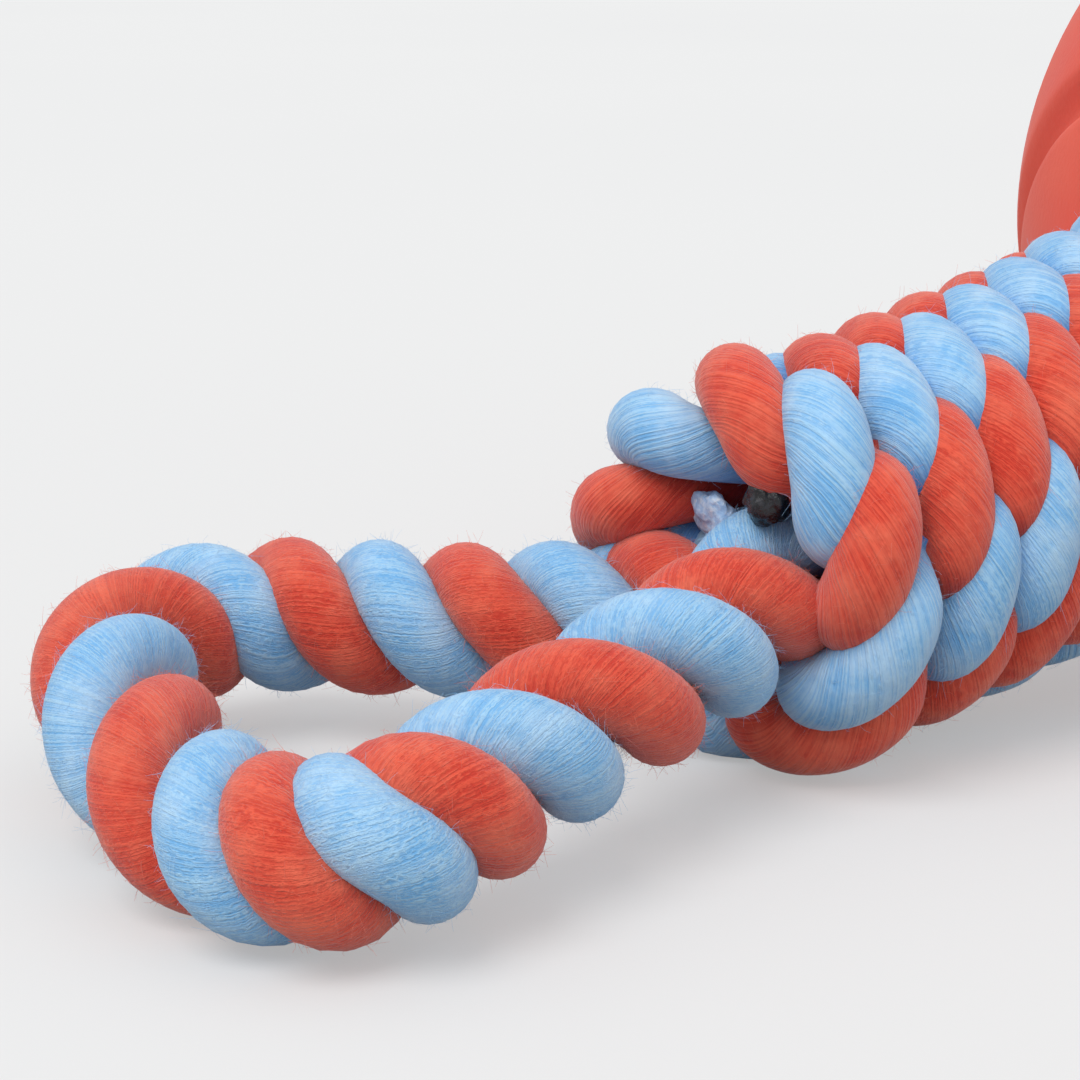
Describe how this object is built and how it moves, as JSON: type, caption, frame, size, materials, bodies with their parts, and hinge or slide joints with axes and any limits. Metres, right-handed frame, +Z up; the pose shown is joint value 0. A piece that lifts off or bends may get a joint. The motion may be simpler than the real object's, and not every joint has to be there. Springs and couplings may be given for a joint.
{
  "type": "rope dog toy",
  "caption": "Tug toy for a dog: a round crown sennit of ten thick cotton strands through a rubber ball, with a twisted rope hand loop at one end and a tassel at the other.",
  "frame": {"origin": "on the ground under the middle of the toy's overall box, with the toy lying at rest", "axes": "+X from the hand loop along the toy to the tassel, +Z up"},
  "size_m": [0.263, 0.0978, 0.098],
  "materials": {
    "red_cotton": "matt twisted cotton yarn",
    "blue_cotton": "matt twisted cotton yarn",
    "pale_cotton": "matt",
    "red_rubber": "satin",
    "black_char": "burnt fibre",
    "pale_seal": "melted fibre"
  },
  "bodies": {
    "rope": {"loop_strand_red": "red_cotton", "loop_strand_blue": "blue_cotton", "braid_strand_red_1": "red_cotton", "braid_strand_blue_1": "blue_cotton", "braid_strand_red_2": "red_cotton", "braid_strand_blue_2": "blue_cotton", "braid_strand_red_3": "red_cotton", "braid_strand_blue_3": "blue_cotton", "braid_strand_red_4": "red_cotton", "braid_strand_blue_4": "blue_cotton", "braid_strand_red_5": "red_cotton", "braid_strand_blue_5": "blue_cotton", "core_cord": "pale_cotton", "charred_tip": "black_char", "heat_seal_patch": "pale_seal"},
    "ball": {"rubber_ball": "red_rubber"}
  },
  "joints": [
    {"name": "ball_spin", "type": "hinge", "parent": "rope", "child": "ball", "pos_m": [0.04188, 0, 0.04911], "axis": [0.9426, 0, 0.3338], "continuous": true}
  ]
}
